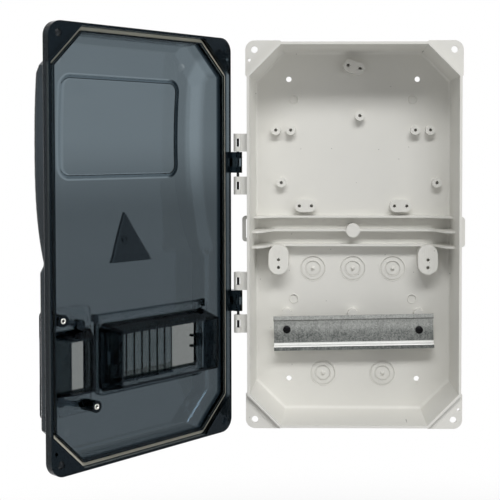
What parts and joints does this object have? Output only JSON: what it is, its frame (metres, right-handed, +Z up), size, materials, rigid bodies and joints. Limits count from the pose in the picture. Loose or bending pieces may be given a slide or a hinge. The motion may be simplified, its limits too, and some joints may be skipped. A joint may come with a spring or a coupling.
{
  "type": "electric meter box",
  "caption": "Wall-mounted electric meter box: a chamfered pale tray with a mounting rail and a hinged smoke-tinted cover with a breaker flap.",
  "frame": {"origin": "centre of the tray's flat back face, where it lies against the wall", "axes": "+X to the right seen from the front, +Y into the wall, +Z up"},
  "size_m": [0.3857, 0.2263, 0.381],
  "materials": {
    "pale_plastic": "satin moulded",
    "smoke_plastic": "clear smoke tint",
    "strip_plastic": "clear smoke tint",
    "gasket_rubber": "matt foam",
    "zinc_sheet": "galvanised",
    "screw_steel": "zinc plated",
    "pin_steel": "drawn wire",
    "insert_brass": "turned"
  },
  "bodies": {
    "base": {"base_tray": "pale_plastic", "din_rail": "zinc_sheet", "rail_screw_left": "screw_steel", "rail_screw_right": "screw_steel", "hinge_pin_upper": "pin_steel", "hinge_pin_lower": "pin_steel"},
    "cover": {"cover_shell": "smoke_plastic", "cover_gasket": "gasket_rubber", "blanking_strip": "strip_plastic", "small_window_lid": "smoke_plastic", "lid_insert_upper": "insert_brass", "lid_insert_lower": "insert_brass", "lid_screw_upper": "screw_steel", "lid_screw_lower": "screw_steel"},
    "flap": {"breaker_flap": "smoke_plastic"}
  },
  "joints": [
    {"name": "cover_hinge", "type": "hinge", "parent": "base", "child": "cover", "pos_m": [-0.1132, -0.0572, 0], "axis": [0, 0, 1], "range_deg": [-51, 129]},
    {"name": "breaker_flap_hinge", "type": "hinge", "parent": "cover", "child": "flap", "pos_m": [-0.19308, -0.1015, -0.0665], "axis": [0.6293, 0.7771, 0], "range_deg": [0, 110]}
  ]
}
